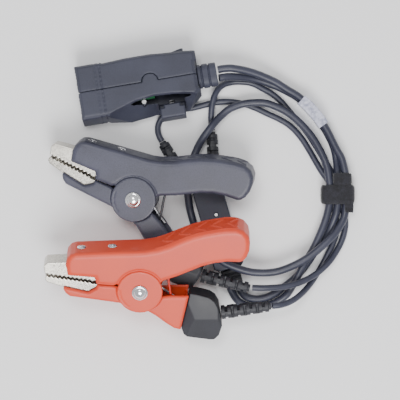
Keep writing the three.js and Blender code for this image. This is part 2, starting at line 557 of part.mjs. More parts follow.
function strapRing() {
  const { x, low, high, half, height, innerHalf, innerLow, innerHigh } = strap;
  const corner = 4;
  const outline = [
    [-half + corner, 0], [half - corner, 0], [half - 1.2, 1.2], [half, corner], [half, height - corner],
    [half - 1.2, height - 1.2], [half - corner, height], [-half + corner, height], [-half + 1.2, height - 1.2],
    [-half, height - corner], [-half, corner], [-half + 1.2, 1.2],
  ];
  const shape = new THREE.Shape(outline.map(([across, up]) => new THREE.Vector2(across, up)));
  const geometry = new THREE.ExtrudeGeometry(shape, { depth: high - low, bevelEnabled: false });
  geometry.rotateX(Math.PI / 2);
  geometry.translate(x, high, 0);
  return cut(toSolid(geometry), block([x - innerHalf, low - 1, innerLow], [x + innerHalf, high + 1, innerHigh]));
}

// ---- Assembly ---------------------------------------------------------------------------------------
const tester = new THREE.Group();
tester.add(makeClamp('black', black, colours.black));
tester.add(makeClamp('red', red, colours.red));
tester.add(makeHousing());
tester.add(makeBox());
tester.add(...makeBoxReliefs());
tester.add(...makeCables());
tester.add(piece('marker_sleeve', markerSleeve(), colours.label, 0.5));
tester.add(piece('strap', strapRing(), colours.strap, 0.95));
tester.position.set(-centre.x, -centre.y, 0);

export default tester;
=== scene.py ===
# %% [markdown]
# # Battery tester: two spring clamps, a vehicle plug and a small inline box
#
# The set lies on a table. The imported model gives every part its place, and this script
# gives the parts their moulded edges, their cables and their finishes. All lengths are
# metres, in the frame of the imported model.

# %% Load the frame
import json
import math
import bpy
from mathutils import Euler, Matrix, Vector


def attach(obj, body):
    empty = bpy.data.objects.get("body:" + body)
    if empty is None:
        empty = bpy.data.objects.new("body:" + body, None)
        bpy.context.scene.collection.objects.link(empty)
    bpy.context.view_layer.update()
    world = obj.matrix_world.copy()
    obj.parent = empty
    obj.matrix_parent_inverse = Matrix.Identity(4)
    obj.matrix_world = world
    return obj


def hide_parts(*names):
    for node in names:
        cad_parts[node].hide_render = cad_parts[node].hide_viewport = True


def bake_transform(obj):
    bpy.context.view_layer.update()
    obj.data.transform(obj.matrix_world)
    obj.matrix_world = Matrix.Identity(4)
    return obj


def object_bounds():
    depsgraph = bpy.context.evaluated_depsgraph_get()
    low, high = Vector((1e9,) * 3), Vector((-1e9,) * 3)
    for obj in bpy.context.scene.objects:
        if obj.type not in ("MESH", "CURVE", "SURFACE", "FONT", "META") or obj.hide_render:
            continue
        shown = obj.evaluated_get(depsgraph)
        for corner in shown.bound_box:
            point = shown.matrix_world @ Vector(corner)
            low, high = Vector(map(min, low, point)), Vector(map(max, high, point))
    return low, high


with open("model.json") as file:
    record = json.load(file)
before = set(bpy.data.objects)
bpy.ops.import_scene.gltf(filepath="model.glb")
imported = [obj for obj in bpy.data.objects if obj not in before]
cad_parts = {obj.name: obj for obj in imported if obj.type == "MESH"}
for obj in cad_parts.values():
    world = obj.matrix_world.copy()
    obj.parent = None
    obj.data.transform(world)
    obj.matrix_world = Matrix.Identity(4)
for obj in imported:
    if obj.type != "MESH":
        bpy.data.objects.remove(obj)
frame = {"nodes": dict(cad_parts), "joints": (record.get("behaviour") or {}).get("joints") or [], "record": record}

MM = 0.001
cad_low, cad_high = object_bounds()
size_of_cad = cad_high - cad_low
print("the set measures", [round(side / MM) for side in size_of_cad], "mm")

# %% [markdown]
# ## Camera, floor and light
#
# The set is seen from straight above with a long lens, which keeps the tall clamps from
# leaning outwards. One large soft light stands towards the near side, so that the broad
# cheeks of the clamps catch it and their top edges stay dark.

# %% Camera
VIEW_WIDTH = 288 * MM
LENS = 200
SENSOR = 36
VIEW_CENTRE = Vector((29.8, -4.32, 25)) * MM

camera_data = bpy.data.cameras.new("camera")
camera_data.lens = LENS
camera_data.sensor_width = SENSOR
camera = bpy.data.objects.new("camera", camera_data)
camera.location = VIEW_CENTRE + Vector((0, 0, VIEW_WIDTH * LENS / SENSOR))
bpy.context.collection.objects.link(camera)
bpy.context.scene.camera = camera
print("camera height", round(camera.location.z, 3), "m")

# %% Lamp helper
def soft_light(name, place, width, power):
    """A round soft lamp that points at the middle of the set. power is in watts."""
    lamp_data = bpy.data.lights.new(name, "AREA")
    lamp_data.shape = "DISK"
    lamp_data.size = width
    lamp_data.energy = power
    lamp = bpy.data.objects.new(name, lamp_data)
    lamp.location = place
    lamp.rotation_euler = (Vector(place) * -1).to_track_quat("-Z", "Y").to_euler()
    bpy.context.collection.objects.link(lamp)


# %% Floor and lights
FLOOR_SIDE = 6
PAPER_COLOUR = (0.93, 0.93, 0.94, 1)
PAPER_ROUGHNESS = 0.9
ROOM_COLOUR = (1, 1, 1, 1)
ROOM_STRENGTH = 0.75

bpy.ops.mesh.primitive_plane_add(size=FLOOR_SIDE, location=(0, 0, 0))
floor = bpy.context.active_object
floor.name = "floor"
floor_paint = bpy.data.materials.new("floor_paper")
floor_paint.use_nodes = True
floor_shader = floor_paint.node_tree.nodes["Principled BSDF"]
floor_shader.inputs["Base Color"].default_value = PAPER_COLOUR
floor_shader.inputs["Roughness"].default_value = PAPER_ROUGHNESS
floor.data.materials.append(floor_paint)

soft_light("near_softbox", (0.05, -0.75, 1.15), 0.7, 17)
soft_light("overhead_strip", (-0.1, 0.25, 1.2), 0.35, 5)
world = bpy.data.worlds.new("studio")
world.use_nodes = True
world.node_tree.nodes["Background"].inputs["Color"].default_value = ROOM_COLOUR
world.node_tree.nodes["Background"].inputs["Strength"].default_value = ROOM_STRENGTH
bpy.context.scene.world = world
print("floor", FLOOR_SIDE, "m wide, 2 lamps")

# %% [markdown]
# ## Finishes
#
# Moulded plastic is never one flat colour: its sheen breaks up over a fine grain. Each
# finish mixes two close colours with a noise that reads Object coordinates, varies the
# gloss with the same noise, and adds a fine bump.

# %% Material helper
def finish(name, dark, light, gloss, grain, bump, metal=0.0, patch=40, sheen=0.0):
    """A finish between two colours.

    gloss is the lowest and highest roughness. patch and grain are the scales of the broad
    and the fine noise, and bump is the strength of the fine relief.
    """
    material = bpy.data.materials.new(name)
    material.use_nodes = True
    tree = material.node_tree
    shader = tree.nodes["Principled BSDF"]
    shader.inputs["Metallic"].default_value = metal
    shader.inputs["Sheen Weight"].default_value = sheen
    place = tree.nodes.new("ShaderNodeTexCoord")
    broad = tree.nodes.new("ShaderNodeTexNoise")
    broad.inputs["Scale"].default_value = patch
    broad.inputs["Detail"].default_value = 3
    fine = tree.nodes.new("ShaderNodeTexNoise")
    fine.inputs["Scale"].default_value = grain
    fine.inputs["Detail"].default_value = 4
    both = tree.nodes.new("ShaderNodeMix")
    both.inputs["Factor"].default_value = 0.5
    ramp = tree.nodes.new("ShaderNodeValToRGB")
    ramp.color_ramp.elements[0].position = 0.38
    ramp.color_ramp.elements[0].color = (*dark, 1)
    ramp.color_ramp.elements[1].position = 0.62
    ramp.color_ramp.elements[1].color = (*light, 1)
    rough = tree.nodes.new("ShaderNodeMapRange")
    rough.inputs["From Min"].default_value = 0.35
    rough.inputs["From Max"].default_value = 0.65
    rough.inputs["To Min"].default_value = gloss[0]
    rough.inputs["To Max"].default_value = gloss[1]
    relief = tree.nodes.new("ShaderNodeBump")
    relief.inputs["Strength"].default_value = bump
    relief.inputs["Distance"].default_value = 0.15 * MM
    link = tree.links.new
    for noise in (broad, fine):
        link(place.outputs["Object"], noise.inputs["Vector"])
    link(broad.outputs["Fac"], both.inputs["A"])
    link(fine.outputs["Fac"], both.inputs["B"])
    link(both.outputs["Result"], ramp.inputs["Fac"])
    link(ramp.outputs["Color"], shader.inputs["Base Color"])
    link(both.outputs["Result"], rough.inputs["Value"])
    link(rough.outputs["Result"], shader.inputs["Roughness"])
    link(fine.outputs["Fac"], relief.inputs["Height"])
    link(relief.outputs["Normal"], shader.inputs["Normal"])
    return material


# %% Plastic and rubber finishes
FINISHES = {
    "clamp_red": finish("red_shell", dark=(0.60, 0.045, 0.014), light=(0.68, 0.065, 0.022),
                        gloss=(0.38, 0.48), grain=2600, bump=0.12),
    "clamp_black": finish("black_shell", dark=(0.030, 0.031, 0.050), light=(0.062, 0.064, 0.098),
                          gloss=(0.36, 0.56), grain=1500, bump=0.35),
    "rubber": finish("moulded_rubber", dark=(0.010, 0.010, 0.014), light=(0.024, 0.025, 0.034),
                     gloss=(0.45, 0.62), grain=1800, bump=0.35),
    "housing": finish("plug_shell", dark=(0.020, 0.022, 0.038), light=(0.042, 0.045, 0.072),
                      gloss=(0.42, 0.60), grain=2200, bump=0.40),
    "cable_jacket": finish("cable_jacket", dark=(0.022, 0.024, 0.042), light=(0.042, 0.045, 0.072),
                           gloss=(0.34, 0.48), grain=1600, bump=0.20),
    "red_wire": finish("red_wire", dark=(0.42, 0.015, 0.008), light=(0.55, 0.03, 0.015),
                       gloss=(0.30, 0.42), grain=1500, bump=0.10),
    "black_wire": finish("black_wire", dark=(0.015, 0.015, 0.02), light=(0.03, 0.03, 0.04),
                         gloss=(0.30, 0.42), grain=1500, bump=0.10),
}

# %% Metal finishes
FINISHES["jaw_steel"] = finish("jaw_steel", dark=(0.42, 0.40, 0.36), light=(0.72, 0.69, 0.62),
                               gloss=(0.22, 0.40), grain=900, bump=0.25, metal=1.0)
FINISHES["bright_steel"] = finish("bright_steel", dark=(0.66, 0.66, 0.68), light=(0.86, 0.86, 0.88),
                                  gloss=(0.10, 0.22), grain=700, bump=0.08, metal=1.0)
FINISHES["spring_steel"] = finish("spring_steel", dark=(0.40, 0.40, 0.42), light=(0.60, 0.60, 0.62),
                                  gloss=(0.25, 0.40), grain=800, bump=0.15, metal=1.0)

# %% Film, board, fuse and strap finishes
FINISHES["label"] = finish("marker_film", dark=(0.30, 0.31, 0.42), light=(0.62, 0.63, 0.76),
                           gloss=(0.18, 0.42), grain=500, bump=0.35, patch=160)
FINISHES["board"] = finish("board_lacquer", dark=(0.02, 0.12, 0.05), light=(0.03, 0.19, 0.08),
                           gloss=(0.30, 0.45), grain=1200, bump=0.10)
FINISHES["fuse"] = finish("fuse_body", dark=(0.35, 0.37, 0.40), light=(0.48, 0.50, 0.53),
                          gloss=(0.15, 0.25), grain=900, bump=0.05)
FINISHES["strap"] = finish("strap_pile", dark=(0.004, 0.004, 0.006), light=(0.022, 0.022, 0.030),
                           gloss=(0.85, 1.0), grain=1400, bump=1.0, patch=300, sheen=0.25)
print(len(FINISHES), "finishes")

# %% [markdown]
# ## Cables
#
# Two trunk cables run from the plug to the box, and two thinner leads run from the box to
# the clamps. Each is one smooth curve along the route that it lies in, and the curve's
# round bevel gives the jacket.

# %% Placing a point of the layout in the model's frame
LAYOUT_CENTRE = Vector((-29.8, 4.32, 0))


def laid(x, y, z):
    return (Vector((x, y, z)) - LAYOUT_CENTRE) * MM


# %% The routes
TRUNK = 5.5 * MM
LEAD = 4.5 * MM
LONG_TRUNK = [
    (12.9, 94.4, 16.1), (17.3, 95.2, 16.1), (24.5, 95.3, 15.9), (51.1, 87.5, 10.9), (64.1, 79.9, 9.4),
    (72.9, 74.2, 9.3), (89.1, 55.8, 9.3), (99, 37.4, 9.2), (103.7, 28.1, 9.6), (105.4, -9.4, 10),
    (102.5, -17.3, 11.2), (93.2, -29.2, 13.9), (65.5, -48.5, 14.6), (44.6, -52.8, 14.8), (23, -47.9, 15.4),
    (13.7, -42.8, 15.3), (6.8, -36, 15.2), (0.2, -28.9, 12), (-3.4, -20.4, 6.4), (-6.2, -11.5, 3.4),
    (-8.2, -2.2, 3.8), (-8.6, 13.7, 8.8), (-2.7, 36, 8.2), (6.1, 50.4, 11.2), (16.2, 61.9, 7.8),
    (23, 67, 7.6), (42.5, 70.9, 7.6), (51.8, 69.3, 7.6), (70.3, 58.3, 7.8), (89.6, 31.3, 8.2),
    (94, 13.7, 9.8), (94, -2.9, 9.4), (84.6, -31, 8.6), (75.7, -46.8, 8.5), (67, -63, 8),
    (61.8, -70.3, 5), (46.4, -77.5, 2.9), (30.6, -75.6, 2.9), (22.8, -66, 2.9), (21.9, -61.6, 2.9),
]
SHORT_TRUNK = [
    (13.8, 88.3, 17.5), (18.7, 89.1, 16.6), (25.9, 89.4, 13.2), (36.7, 88.6, 8.1), (50.4, 85, 4.9),
    (63.4, 79.1, 3.6), (72.4, 73.6, 3.5), (80.9, 64.9, 3.5), (88.5, 55.2, 3.5), (93.7, 46.7, 3.4),
    (97.9, 36.7, 3.3), (99.5, 28.1, 4.6), (100, 20.2, 7.8), (100.1, 12.2, 9.6), (100.1, -2.9, 9.4),
    (99.2, -8.6, 9.1), (97.1, -15.1, 7.9), (94.2, -22, 5.8), (90.4, -28.8, 3.5), (85, -36.4, 2.9),
    (79.7, -44.3, 2.9), (74.2, -51.8, 2.9), (67.7, -58.3, 2.9), (60.8, -63.7, 2.9), (54, -68.4, 2.9),
    (46.1, -71.6, 2.9), (39.2, -72, 2.9), (33.4, -70.2, 2.9), (29.7, -65.7, 2.9), (28, -60.6, 2.9),
]
RED_LEAD = [
    (-27.8, 42.9, 4.4), (-29.8, 46.7, 4.1), (-30.8, 51.1, 3.4), (-30, 56.2, 2.7), (-26.8, 60.8, 2.4),
    (-21.3, 64.1, 2.4), (-13.7, 66, 2.4), (-5, 67.3, 2.4), (2.2, 69.1, 2.4), (9.4, 70.9, 2.4),
    (20.2, 71.8, 2.4), (31, 70.3, 2.4), (39.6, 67.5, 2.4), (49, 63.1, 2.4), (58.3, 58.8, 2.4),
    (65.9, 53.9, 2.4), (72.7, 46.8, 2.4), (78.8, 37.8, 2.4), (84.2, 28.4, 2.6), (88.9, 20.5, 3.2),
    (93.6, 14, 4.1), (96.6, 8.6, 4.8), (97.2, 3.6, 4.8), (97.2, -2.9, 4.8), (98.4, -9.4, 3.4),
    (99.6, -15.8, 2.5), (99.8, -23, 2.4), (97.2, -31, 2.4), (93.7, -38.9, 2.4), (89.3, -47.2, 2.6),
    (84.8, -54.7, 4), (79.6, -61.9, 7.5), (73.1, -68.4, 13.5), (65.9, -73.1, 19.5), (58.3, -75.6, 24.5),
    (52.1, -76.3, 25.6),
]
BLACK_LEAD = [
    (8.6, 50.7, 4.4), (8.1, 56.9, 4.6), (8.2, 63.7, 6.3), (9.2, 70.9, 7.4), (11.5, 77.9, 6.3),
    (15.8, 83.2, 3.9), (22.3, 85.7, 2.5), (30.2, 86.2, 2.4), (38.2, 85, 2.4), (45.4, 81.5, 2.4),
    (52.6, 77.5, 2.4), (58.3, 72.7, 2.4), (63.8, 66.6, 2.4), (69.8, 59.4, 2.4), (77, 50.8, 2.4),
    (83.5, 41, 2.4), (89.4, 31.3, 2.4), (94.3, 23.4, 2.6), (98.5, 16.2, 3.6), (102.1, 9.7, 4.8),
    (103, 4.3, 4.8), (103, -2.9, 4.8), (104.8, -9.4, 4), (106.1, -15.8, 3), (105.5, -23, 2.5),
    (103.3, -30.2, 2.7), (99.7, -37.1, 4), (94.7, -44.3, 7), (88.6, -50.4, 9.4), (82.1, -55.1, 11.5),
    (74.9, -58.7, 14), (67.7, -61.2, 15.8), (59.8, -62.8, 17.6), (51.8, -63.4, 19.4), (43.9, -63.6, 20.4),
    (37.7, -63.4, 20.5),
]

# %% Make a cable along its route
def cable(name, route, width):
    """A jacket along a route of the layout, as one smooth curve with closed ends."""
    data = bpy.data.curves.new(name, "CURVE")
    data.dimensions = "3D"
    data.resolution_u = 8
    data.bevel_depth = width / 2
    data.bevel_resolution = 5
    data.use_fill_caps = True
    line = data.splines.new("BEZIER")
    line.bezier_points.add(len(route) - 1)
    for knot, place in zip(line.bezier_points, route):
        knot.co = laid(*place)
        knot.handle_left_type = "AUTO"
        knot.handle_right_type = "AUTO"
    jacket = bpy.data.objects.new(name, data)
    bpy.context.collection.objects.link(jacket)
    data.materials.append(FINISHES["cable_jacket"])
    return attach(jacket, "root")


long_trunk = cable("long_trunk_jacket", LONG_TRUNK, TRUNK)
short_trunk = cable("short_trunk_jacket", SHORT_TRUNK, TRUNK)
red_lead = cable("red_lead_jacket", RED_LEAD, LEAD)
black_lead = cable("black_lead_jacket", BLACK_LEAD, LEAD)
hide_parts("long_trunk_cable")
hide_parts("short_trunk_cable")
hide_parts("red_lead")
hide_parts("black_lead")
print("4 cables,", TRUNK / MM, "mm and", LEAD / MM, "mm thick")

# %% [markdown]
# ## Moulding helpers
#
# A moulded part has no sharp edge. A copy of the plain part is merged, remeshed with a
# small voxel and relaxed a little, so every edge gets the small round of a mould, and
# ribs that were joined on become one with the wall. Decimating takes back the triangles
# that flat walls don't need.

# %% Selection and modifiers
def only(piece):
    bpy.ops.object.select_all(action="DESELECT")
    piece.select_set(True)
    bpy.context.view_layer.objects.active = piece


def apply_all(piece):
    only(piece)
    for modifier in list(piece.modifiers):
        bpy.ops.object.modifier_apply(modifier=modifier.name)


def copy_of(node, name):
    """A copy of a plain part, with its loose triangles merged into one skin."""
    twin = bpy.data.objects.new(name, frame["nodes"][node].data.copy())
    twin.data.materials.clear()
    bpy.context.collection.objects.link(twin)
    only(twin)
    bpy.ops.object.mode_set(mode="EDIT")
    bpy.ops.mesh.select_all(action="SELECT")
    bpy.ops.mesh.remove_doubles(threshold=0.002 * MM)
    bpy.ops.object.mode_set(mode="OBJECT")
    return twin


def joined(first, *others):
    """Makes several meshes one object, which keeps the first one's name."""
    only(first)
    for other in others:
        other.select_set(True)
    bpy.ops.object.join()
    return first


def carve(piece, cutter):
    """Takes the cutter's shape out of a piece, and removes the cutter."""
    tool = piece.modifiers.new("carve", "BOOLEAN")
    tool.operation = "DIFFERENCE"
    tool.object = cutter
    tool.solver = "EXACT"
    apply_all(piece)
    bpy.data.objects.remove(cutter)


def mould(piece, voxel, passes, keep):
    """Rounds every edge as a mould does.

    voxel is the finest detail that stays, passes is how often the skin is relaxed, and
    keep is the share of its triangles that stays.
    """
    skin = piece.modifiers.new("skin", "REMESH")
    skin.mode = "VOXEL"
    skin.voxel_size = voxel * 1
    relax = piece.modifiers.new("relax", "SMOOTH")
    relax.factor = 0.5
    relax.iterations = passes
    thin = piece.modifiers.new("thin", "DECIMATE")
    thin.ratio = keep
    apply_all(piece)
    bpy.ops.object.shade_smooth()
    return piece


def settle(piece, body, slot, *nodes):
    """Gives a finished piece its finish and its body, and hides the plain parts it stands for."""
    piece.data.materials.clear()
    piece.data.materials.append(FINISHES[slot])
    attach(piece, body)
    if nodes:
        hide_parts(*nodes)
    print(piece.name, len(piece.data.polygons), "faces")
    return piece


# %% Primitives at a place
def apply_place(piece, place):
    """Puts a piece's place into its mesh, so that the object itself sits at the origin."""
    piece.data.transform(place @ piece.matrix_basis)
    piece.matrix_basis = Matrix.Identity(4)
    return piece


def drum(radius, low, high, place, sides=48, top=None):
    """A round bar along the local Z axis, tapered when top is given."""
    bpy.ops.object.select_all(action="DESELECT")
    bpy.ops.mesh.primitive_cone_add(vertices=sides, radius1=radius, radius2=radius if top is None else top,
                                    depth=high - low, location=(0, 0, (high + low) / 2))
    return apply_place(bpy.context.active_object, place)


def brick(low, high, place):
    """A block between two corners of a local frame."""
    bpy.ops.object.select_all(action="DESELECT")
    bpy.ops.mesh.primitive_cube_add(size=1, location=(Vector(low) + Vector(high)) / 2)
    brick_piece = bpy.context.active_object
    brick_piece.scale = Vector(high) - Vector(low)
    bpy.context.view_layer.update()
    return apply_place(brick_piece, place)


def tube_through(points, radius, name="bead"):
    """A round bead through points of the model's frame, as a mesh."""
    data = bpy.data.curves.new(name, "CURVE")
    data.dimensions = "3D"
    data.resolution_u = 6
    data.bevel_depth = radius
    data.bevel_resolution = 2
    data.use_fill_caps = True
    line = data.splines.new("BEZIER")
    line.bezier_points.add(len(points) - 1)
    for knot, point in zip(line.bezier_points, points):
        knot.co = point
        knot.handle_left_type = "AUTO"
        knot.handle_right_type = "AUTO"
    bead = bpy.data.objects.new(name, data)
    bpy.context.collection.objects.link(bead)
    only(bead)
    bpy.ops.object.convert(target="MESH")
    return bpy.context.active_object


# %% [markdown]
# ## Clamps
#
# Both clamps come from the same mould, so one loop makes them. The frame of a clamp has
# its origin at the rivet, its jaws along -X and the rivet along Z. The two halves differ
# only in how they lean on the table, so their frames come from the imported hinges.

# %% Where the clamps lie
# Degrees about X, Y and Z.
LEAN = {"red": (24, 0, 0), "black": (12, -2, -18)}
hinges = {joint["child"]: joint for joint in frame["joints"]}


def clamp_frame(name):
    """The frame of a clamp, with its origin on the hinge."""
    turn = Euler([math.radians(angle) for angle in LEAN[name]], "XYZ").to_matrix().to_4x4()
    return Matrix.Translation(hinges[f"{name}_upper"]["pos_m"]) @ turn


# %% [markdown]
# ### Grip ribs
#
# The back of each upper handle has five arrow-shaped ribs between two straight ones, so
# that it doesn't slip in the hand. They follow a curved back, so rays are cast down on to
# it, and a round bead is laid through the points that they meet.

# %% Grip ribs on the back of the handle
RIB_COUNT = 5
RIB_FIRST = 16.6 * MM
RIB_STEP = 11.5 * MM
RIB_REACH = 8 * MM
RIB_HALF = 7.6 * MM
RIB_LAST_END = 69.5 * MM
RIB_RADIUS = 0.85 * MM
EDGE_START = 12
EDGE_STEP = 7
EDGE_POINTS = 9
EDGE_OFFSET = 9.2 * MM
EDGE_RADIUS = 0.55 * MM
ABOVE_THE_BACK = 80 * MM


def on_back(shell, place, x, z):
    """The point of the handle's back over local x and z."""
    start = place @ Vector((x, ABOVE_THE_BACK, z))
    hit, point, _, _ = shell.ray_cast(start, place.to_3x3() @ Vector((0, -1, 0)))
    return point if hit else start


def grip_ribs(shell, place):
    ribs = []
    for i in range(RIB_COUNT):
        tip = RIB_FIRST + i * RIB_STEP
        for side in (-1, 1):
            steps = [k / 3 for k in range(4)]
            reach = min(RIB_REACH, RIB_LAST_END - tip)
            points = [on_back(shell, place, tip + reach * t, side * RIB_HALF * t) for t in steps]
            ribs.append(tube_through(points, RIB_RADIUS))
    for side in (-1, 1):
        edge = [on_back(shell, place, (EDGE_START + EDGE_STEP * k) * MM, side * EDGE_OFFSET)
                for k in range(EDGE_POINTS)]
        ribs.append(tube_through(edge, EDGE_RADIUS))
    return ribs


# %% [markdown]
# ### Upper half
#
# A groove rings the disc where it meets the cheek, and a short arc marks its face. Both
# are cut with round bars before moulding, so their edges soften with the rest.

# %% The ring groove and the short arc on the disc
DISC_FACE = 13.5 * MM
CHEEK_FACE = 12.5 * MM
RING_RADIUS = 16.9 * MM
RING_WIDTH = 0.7 * MM
ARC_RADIUS = 14.1 * MM
ARC_WIDTH = 0.5 * MM
ARC_FROM, ARC_TO = 172, 238
ARC_STEPS = 8


def ring_cutter(place, radius, height, width):
    bpy.ops.object.select_all(action="DESELECT")
    bpy.ops.mesh.primitive_torus_add(major_radius=radius, minor_radius=width, major_segments=96,
                                     minor_segments=10, location=(0, 0, height))
    return apply_place(bpy.context.active_object, place)


def arc_cutter(place, radius, height, width, start, end):
    angles = [math.radians(start + (end - start) * k / ARC_STEPS) for k in range(ARC_STEPS + 1)]
    points = [place @ Vector((radius * math.cos(a), radius * math.sin(a), height)) for a in angles]
    return tube_through(points, width)


# %% Upper half
SHELL_VOXEL = 0.5 * MM
SHELL_KEEP = 0.4


def upper_half(name, place):
    shell = copy_of(f"{name}_upper_shell", f"{name}_upper_half")
    ribs = grip_ribs(shell, place)
    for height in (DISC_FACE, -DISC_FACE):
        carve(shell, arc_cutter(place, ARC_RADIUS, height, ARC_WIDTH, ARC_FROM, ARC_TO))
    for height in (CHEEK_FACE, -CHEEK_FACE):
        carve(shell, ring_cutter(place, RING_RADIUS, height, RING_WIDTH))
    joined(shell, *ribs)
    mould(shell, SHELL_VOXEL, passes=5, keep=SHELL_KEEP)
    return settle(shell, f"{name}_upper", f"clamp_{name}", f"{name}_upper_shell")


# %% [markdown]
# ### Lower half and jaws
#
# The lower half is a plain channel. The jaws are folded sheet with a toothed edge, so
# they take a finer skin than the plastic, or the teeth would melt away.

# %% Lower half
def lower_half(name):
    shell = copy_of(f"{name}_lower_shell", f"{name}_lower_half")
    mould(shell, SHELL_VOXEL, passes=6, keep=SHELL_KEEP)
    return settle(shell, "root", f"clamp_{name}", f"{name}_lower_shell")


# %% Jaws
JAW_VOXEL = 0.28 * MM


def toothed_jaw(name, half, body):
    jaw = copy_of(f"{name}_{half}_jaw", f"{name}_{half}_toothed_jaw")
    mould(jaw, JAW_VOXEL, passes=3, keep=0.5)
    return settle(jaw, body, "jaw_steel", f"{name}_{half}_jaw")


# %% [markdown]
# ### Rivet
#
# A rivet's head is pressed over a flat flange. Each end is a thin flange, a bevelled step
# and a flattened ball, and moulding melts the three into one head.

# %% Rivet
SHAFT_RADIUS = 2.5 * MM
SHAFT_HALF = 13.9 * MM
FLANGE_RADIUS, FLANGE_LOW, FLANGE_HIGH = 5.7 * MM, 13.8 * MM, 14.5 * MM
STEP_RADIUS, STEP_TOP, STEP_LOW, STEP_HIGH = 5.3 * MM, 4.9 * MM, 14.4 * MM, 15.0 * MM
DOME_RADIUS, DOME_FLATTENING = 4.3 * MM, 0.62
RIVET_SIDES = 48
RIVET_VOXEL = 0.25 * MM


def rivet(name, place):
    shaft = drum(SHAFT_RADIUS, -SHAFT_HALF, SHAFT_HALF, place)
    parts = []
    for turn in (0, math.pi):
        end = place @ Matrix.Rotation(turn, 4, "X")
        parts.append(drum(FLANGE_RADIUS, FLANGE_LOW, FLANGE_HIGH, end))
        parts.append(drum(STEP_RADIUS, STEP_LOW, STEP_HIGH, end, RIVET_SIDES, STEP_TOP))
        bpy.ops.object.select_all(action="DESELECT")
        bpy.ops.mesh.primitive_uv_sphere_add(segments=40, ring_count=20, radius=DOME_RADIUS)
        dome = bpy.context.active_object
        dome.matrix_basis = (Matrix.Translation((0, 0, STEP_LOW))
                             @ Matrix.Diagonal((1, 1, DOME_FLATTENING, 1)))
        parts.append(apply_place(dome, end))
    head = joined(shaft, *parts)
    head.name = f"{name}_rivet"
    mould(head, RIVET_VOXEL, passes=3, keep=0.5)
    return settle(head, "root", "bright_steel", f"{name}_hinge_rivet")


# %% [markdown]
# ### Top screws
#
# Two cross-headed screws hold the upper jaw. Two crossed blocks cut the recess.

# %% Top screws with a cross recess
SCREW_PLACES = [(-41.5, 29.2), (-19.5, 30.1)]
RECESS_LONG, RECESS_NARROW = 1.7, 0.32
RECESS_FLOOR, RECESS_TOP = 0.1, 3
SCREW_VOXEL = 0.16 * MM


def top_screws(name, place):
    for i, (x, y) in enumerate(SCREW_PLACES):
        screw = copy_of(f"{name}_top_screw_{i + 1}", f"{name}_cross_screw_{i + 1}")
        seat = place @ Matrix.Translation(Vector((x, y, 0)) * MM)
        for along, across in ((RECESS_LONG, RECESS_NARROW), (RECESS_NARROW, RECESS_LONG)):
            low = Vector((-along, RECESS_FLOOR, -across)) * MM
            high = Vector((along, RECESS_TOP, across)) * MM
            carve(screw, brick(low, high, seat))
        mould(screw, SCREW_VOXEL, passes=2, keep=0.5)
        settle(screw, f"{name}_upper", "bright_steel", f"{name}_top_screw_{i + 1}")


# %% [markdown]
# ## Boots
#
# A rubber boot closes the end of each lower handle. Its cheeks rise to a ridge along the
# middle and fall away towards the handle, so it is cut from its plain block with planes.

# %% Boot
BOOT_RIDGE = {"red": (39, -23.5), "black": (46, -39)}
BOOT_HALF = 9.4
SIDE_FALL = math.radians(9)
HANDLE_FALL = math.radians(22)
BOOT_VOXEL = 0.45 * MM


def shave(piece, place, point, normal):
    """Cuts off all that lies past a plane, and closes the cut."""
    only(piece)
    bpy.ops.object.mode_set(mode="EDIT")
    bpy.ops.mesh.select_all(action="SELECT")
    bpy.ops.mesh.bisect(plane_co=place @ Vector(point), plane_no=place.to_3x3() @ Vector(normal),
                        use_fill=True, clear_outer=True)
    bpy.ops.object.mode_set(mode="OBJECT")


def boot(name, place):
    block = copy_of(f"{name}_boot", f"{name}_rubber_boot")
    x, y = BOOT_RIDGE[name]
    for side in (1, -1):
        ridge = Vector((x, y, side * BOOT_HALF)) * MM
        for lean in (-1, 1):
            shave(block, place, ridge, (0, lean * math.sin(SIDE_FALL), side * math.cos(SIDE_FALL)))
        shave(block, place, ridge, (-math.sin(HANDLE_FALL), 0, side * math.cos(HANDLE_FALL)))
    mould(block, BOOT_VOXEL, passes=4, keep=0.5)
    return settle(block, "root", "rubber", f"{name}_boot")


# %% [markdown]
# ## Strain reliefs
#
# A moulded relief is a taper of blocks with square windows between them. The windows
# change sides from one gap to the next, which lets it bend every way. It is built from a
# thin core, a row of blocks, and a pair of bridges in each gap.

# %% Relief
# Shares of the relief's own radius, and of the step from one block to the next.
CORE_ROOT, CORE_TIP = 0.62, 0.66
BLOCK_SHARE = 0.62
BRIDGE_MIDDLE, BRIDGE_HALF_THICK, BRIDGE_HALF_WIDE = 0.66, 0.28, 0.42
BRIDGE_OVERLAP = 0.2 * MM
RELIEF_VOXEL = 0.26 * MM


def strain_relief(name, node, place, length, root, tip, blocks):
    """A relief along local Z. root and tip are its radii at the two ends."""
    pitch = length / blocks
    core = drum(root * CORE_ROOT, 0, length, place, 24, tip * CORE_TIP)
    parts = []
    for i in range(blocks):
        start = i * pitch
        radius = root + (tip - root) * (i + 0.5) / blocks
        end = start + pitch * BLOCK_SHARE
        parts.append(drum(radius, start, end, place, 20))
        if i == blocks - 1:
            continue
        turn = Matrix.Rotation(math.pi / 2 * (i % 2), 4, "Z")
        thick, wide = radius * BRIDGE_HALF_THICK, radius * BRIDGE_HALF_WIDE
        for side in (-1, 1):
            middle = side * radius * BRIDGE_MIDDLE
            low = Vector((middle - thick, -wide, end - BRIDGE_OVERLAP))
            high = Vector((middle + thick, wide, start + pitch + BRIDGE_OVERLAP))
            parts.append(brick(low, high, place @ turn))
    relief = joined(core, *parts)
    relief.name = name
    mould(relief, RELIEF_VOXEL, passes=2, keep=0.5)
    return settle(relief, "root", "rubber", node)


